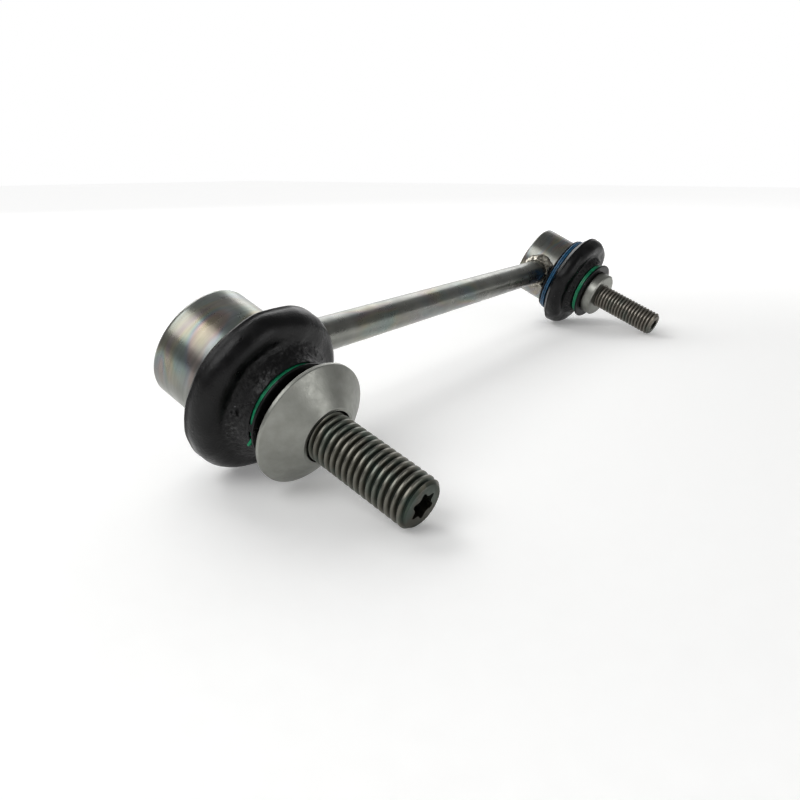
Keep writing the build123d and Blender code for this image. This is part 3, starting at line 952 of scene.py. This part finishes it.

# %% [markdown]
# The boots are black moulded rubber. Its fine grain scatters light, so its highlights are
# broad and grey. Dust clings to it in faint clouds and in single specks. The cone beside
# the neck is rougher, because it is creased and rubbed with every swing. Its grey grain is
# partly worn rubber and partly painted highlight: the pale glints that light strikes from
# the creased rubber are drawn as grey colour. The mould's grain is about 0.1 mm wide, and
# is drawn 0.5 mm wide.

# %% Moulded rubber
def moulded_rubber():
    material = new_material("moulded black rubber")
    place = add_node(material, "TexCoord", "Object")
    lean = add_node(material, "Attribute", "Fac", {"attribute_name": "lean"})
    past_bulge = add_node(material, "MapRange", Value=lean, From_Min=0.68, From_Max=0.8)
    before_neck = add_node(
        material, "MapRange", Value=lean, From_Min=0.93, From_Max=0.99, To_Min=1.0, To_Max=0.0,
    )
    on_cone = add_node(material, "Math", 0, MULTIPLY, _0=past_bulge, _1=before_neck)

    haze = add_node(material, "TexNoise", Vector=place, Scale=cells(5.0), Detail=6.0)
    hazy = add_node(
        material, "MapRange", Value=haze, From_Min=0.5, From_Max=0.75, To_Min=0.0, To_Max=0.6,
    )
    black = add_node(
        material, "Mix", MIXED, MIX_COLOURS, _0=hazy, _6=linear("#040405"), _7=linear("#1c1c1d"),
    )

    # Painted highlight: this grey grain on the cone is partly glints of light on the creased
    # rubber, painted as colour, and partly worn rubber.
    crumbs_and_glints = add_node(material, "TexNoise", Vector=place, Scale=cells(0.9), Detail=6.0)
    crumbly_and_glinting = add_node(
        material, "MapRange", Value=crumbs_and_glints, From_Min=0.5, From_Max=0.7, To_Min=0.0, To_Max=0.9,
    )
    patches = add_node(material, "TexNoise", Vector=place, Scale=cells(7.0), Detail=2.0)
    patchy = add_node(
        material, "MapRange", Value=patches, From_Min=0.42, From_Max=0.6, To_Min=0.15, To_Max=1.0,
    )
    chafed_and_glinting = add_node(material, "Math", 0, MULTIPLY, _0=crumbly_and_glinting, _1=patchy)
    rubbed = add_node(material, "Math", 0, MULTIPLY, _0=on_cone, _1=chafed_and_glinting)
    # The cone's grey is partly painted glints and partly worn rubber.
    greyed_with_painted_glints = add_node(
        material, "Mix", MIXED, MIX_COLOURS, _0=rubbed, _6=black, _7=linear("#454545"),
    )

    grit = add_node(material, "TexVoronoi", "Distance", Vector=place, Scale=cells(1.7))
    speck = add_node(
        material, "MapRange", Value=grit, From_Min=0.06, From_Max=0.14, To_Min=1.0, To_Max=0.0,
    )
    drift = add_node(material, "TexNoise", Vector=place, Scale=cells(3.5), Detail=2.0)
    rare = add_node(
        material, "MapRange", Value=drift, From_Min=0.5, From_Max=0.6, To_Min=0.0, To_Max=0.8,
    )
    dust = add_node(material, "Math", 0, MULTIPLY, _0=speck, _1=rare)
    colour = add_node(material, "Mix", MIXED, MIX_COLOURS, _0=dust, _6=greyed_with_painted_glints, _7=linear("#77777a"))

    wiped = add_node(material, "TexNoise", Vector=place, Scale=cells(2.5), Detail=5.0)
    roughness = add_node(
        material, "MapRange", Value=wiped, From_Min=0.3, From_Max=0.7, To_Min=0.26, To_Max=0.4,
    )
    grain = add_node(material, "TexNoise", Vector=place, Scale=cells(0.5), Detail=4.0)
    depth = add_node(material, "Math", 0, MULTIPLY_ADD, _0=on_cone, _1=0.6, _2=0.4)
    relief = add_node(material, "Bump", Height=grain, Distance=0.18 * MM, Strength=depth)
    set_shader(
        material, Base_Color=colour, Roughness=roughness, IOR=1.52, Specular_IOR_Level=0.24,
        Normal=relief,
    )
    return material


rubber = moulded_rubber()
for end in ENDS:
    dress(boot[end], rubber)
print("boots are rubber")

# %% [markdown]
# The clips are spring wire dipped in lacquer. A lacquer coat is smooth and a little thicker
# in places, so its colour wavers and its surface has a faint orange peel. The ball seats are
# white acetal, and the welds are bare steel that has cooled in lumps.

# %% Lacquer, acetal and weld metal
def lacquered_wire(name, thin, thick):
    material = new_material(name)
    place = add_node(material, "TexCoord", "Object")
    coat = add_node(material, "TexNoise", Vector=place, Scale=cells(2.0), Detail=3.0)
    colour = add_node(material, "ValToRGB", stops=((0.35, thick), (0.65, thin)), Fac=coat)
    smears = add_node(material, "TexNoise", Vector=place, Scale=cells(1.5), Detail=3.0)
    roughness = add_node(
        material, "MapRange", Value=smears, From_Min=0.3, From_Max=0.7, To_Min=0.3, To_Max=0.45,
    )
    peel = add_node(material, "TexNoise", Vector=place, Scale=cells(0.4), Detail=1.0)
    relief = add_node(material, "Bump", Height=peel, Distance=0.01 * MM)
    set_shader(material, Base_Color=colour, Roughness=roughness, Normal=relief)
    return material


def acetal():
    material = new_material("white acetal")
    place = add_node(material, "TexCoord", "Object")
    clouds = add_node(material, "TexNoise", Vector=place, Scale=cells(5.0), Detail=3.0)
    colour = add_node(material, "ValToRGB", stops=((0.3, "#dedbd0"), (0.7, "#eae8e0")), Fac=clouds)
    smears = add_node(material, "TexNoise", Vector=place, Scale=cells(1.0), Detail=3.0)
    roughness = add_node(
        material, "MapRange", Value=smears, From_Min=0.3, From_Max=0.7, To_Min=0.3, To_Max=0.42,
    )
    set_shader(material, Base_Color=colour, Roughness=roughness, IOR=1.48)
    return material


def weld_metal():
    material = new_material("weld metal")
    place = add_node(material, "TexCoord", "Object")
    slag = add_node(material, "TexNoise", Vector=place, Scale=cells(1.6), Detail=5.0)
    greys = ((0.3, "#5d5950"), (0.5, "#99958a"), (0.7, "#c9c5b8"))
    colour = add_node(material, "ValToRGB", stops=greys, Fac=slag)
    smears = add_node(material, "TexNoise", Vector=place, Scale=cells(0.9), Detail=3.0)
    roughness = add_node(
        material, "MapRange", Value=smears, From_Min=0.3, From_Max=0.7, To_Min=0.22, To_Max=0.5,
    )
    pits = add_node(material, "TexNoise", Vector=place, Scale=cells(0.5), Detail=3.0)
    relief = add_node(material, "Bump", Height=pits, Distance=0.05 * MM)
    set_shader(material, Base_Color=colour, Metallic=1.0, Roughness=roughness, Normal=relief)
    return material


blue_lacquer = lacquered_wire("blue lacquered wire", "#205f88", "#124464")
green_lacquer = lacquered_wire("green lacquered wire", "#0a9a68", "#067350")
seat_plastic = acetal()
bead_metal = weld_metal()
for end in ENDS:
    dress(blue_clip[end], blue_lacquer)
    dress(green_clip[end], green_lacquer)
    dress(weld[end], bead_metal)
    dress_node(end + "_ball_seat", seat_plastic)
print("clips, seats and welds are finished")

# %% [markdown]
# The link lies on white paper that runs up behind it as a backdrop. Both are white to the
# camera, and the metal mirrors them, so only soft shadows show. The rest of the room is dim.
# That contrast is what makes metal look like metal: its reflections show where soft boxes
# stand. One is high on the left, one low behind on the right, one behind lights the paper,
# and a white board stands in front.

# %% Paper
PAPER_LIFT_NEAR = 0.2
PAPER_LIFT_FAR = 0.72
clear_selection()
bpy.ops.mesh.primitive_plane_add(size=6)
floor = bpy.context.object
floor.name = "floor"


def white_paper():
    """Paper that glows for the camera, straight, mirrored or through glass, and lights nothing."""
    material = new_material("white paper")
    place = add_node(material, "TexCoord", "Object")
    pulp = add_node(material, "TexNoise", Vector=place, Scale=cells(4.0), Detail=4.0)
    fibres = add_node(material, "ValToRGB", stops=((0.3, "#f5f5f4"), (0.7, "#f9f9f8")), Fac=pulp)
    away = add_node(material, "VectorMath", "Value", {"operation": "LENGTH"}, _0=place)
    lift = add_node(
        material, "MapRange", Value=away, From_Min=0.15, From_Max=0.7,
        To_Min=PAPER_LIFT_NEAR, To_Max=PAPER_LIFT_FAR,
    )
    straight = add_node(material, "LightPath", "Is Camera Ray")
    mirrored = add_node(material, "LightPath", "Is Glossy Ray")
    through = add_node(material, "LightPath", "Is Transmission Ray")
    either = add_node(material, "Math", 0, MAXIMUM, _0=straight, _1=mirrored)
    seen = add_node(material, "Math", 0, MAXIMUM, _0=either, _1=through)
    shown = add_node(material, "Math", 0, MULTIPLY, _0=seen, _1=lift)
    set_shader(
        material, Base_Color=fibres, Roughness=0.9, Specular_IOR_Level=0.1,
        Emission_Color=linear("#ffffff"), Emission_Strength=shown,
    )
    return material


dress(floor, white_paper())
print("paper is laid")

# %% Backdrop and room
ROOM_LEVEL = 0.24
BACKDROP_WAY = (0.84, 0.54, 0.0)

world = bpy.data.worlds.new("studio")
bpy.context.scene.world = world
world.use_nodes = True
way = add_node(world, "TexCoord", "Generated")
towards = add_node(world, "VectorMath", "Value", DOT_PRODUCT, _0=way, _1=BACKDROP_WAY)
on_backdrop = add_node(world, "MapRange", Value=towards, From_Min=0.72, From_Max=0.86)
straight = add_node(world, "LightPath", "Is Camera Ray")
through = add_node(world, "LightPath", "Is Transmission Ray")
glossy = add_node(world, "LightPath", "Is Glossy Ray")
mirrored = add_node(world, "Math", 0, MULTIPLY, _0=glossy, _1=on_backdrop)
seen = add_node(world, "Math", 0, MAXIMUM, _0=straight, _1=through)
shown = add_node(world, "Math", 0, MAXIMUM, _0=seen, _1=mirrored)
level = add_node(world, "MapRange", Value=shown, To_Min=ROOM_LEVEL, To_Max=1.0)
background = world.node_tree.nodes["Background"]
set_inputs(world.node_tree, background, {"Color": linear("#ffffff"), "Strength": level})
print("backdrop is white")


# %% Soft boxes
def soft_box(name, way, distance, size, power):
    """A lamp in a direction from the link, facing it. Its size and distance are in metres."""
    light = bpy.data.lights.new(name, "AREA")
    light.shape = "RECTANGLE"
    light.size = size[0]
    light.size_y = size[1]
    light.energy = power
    lamp = bpy.data.objects.new(name, light)
    lamp.location = Vector(way).normalized() * distance
    lamp.rotation_euler = (-Vector(way)).to_track_quat("-Z", "Y").to_euler()
    bpy.context.scene.collection.objects.link(lamp)
    print(name, "shines with", power, "W")


soft_box("left box", (-0.68, 0.2, 0.68), 0.7, (0.4, 0.42), 1.6)
soft_box("right box", (0.74, 0.42, 0.5), 0.9, (0.6, 0.36), 1.1)
soft_box("back box", (0.2, 0.72, 0.67), 0.9, (0.6, 0.5), 4.2)
soft_box("front board", (0.05, -0.98, 0.2), 0.8, (0.34, 0.22), 0.75)
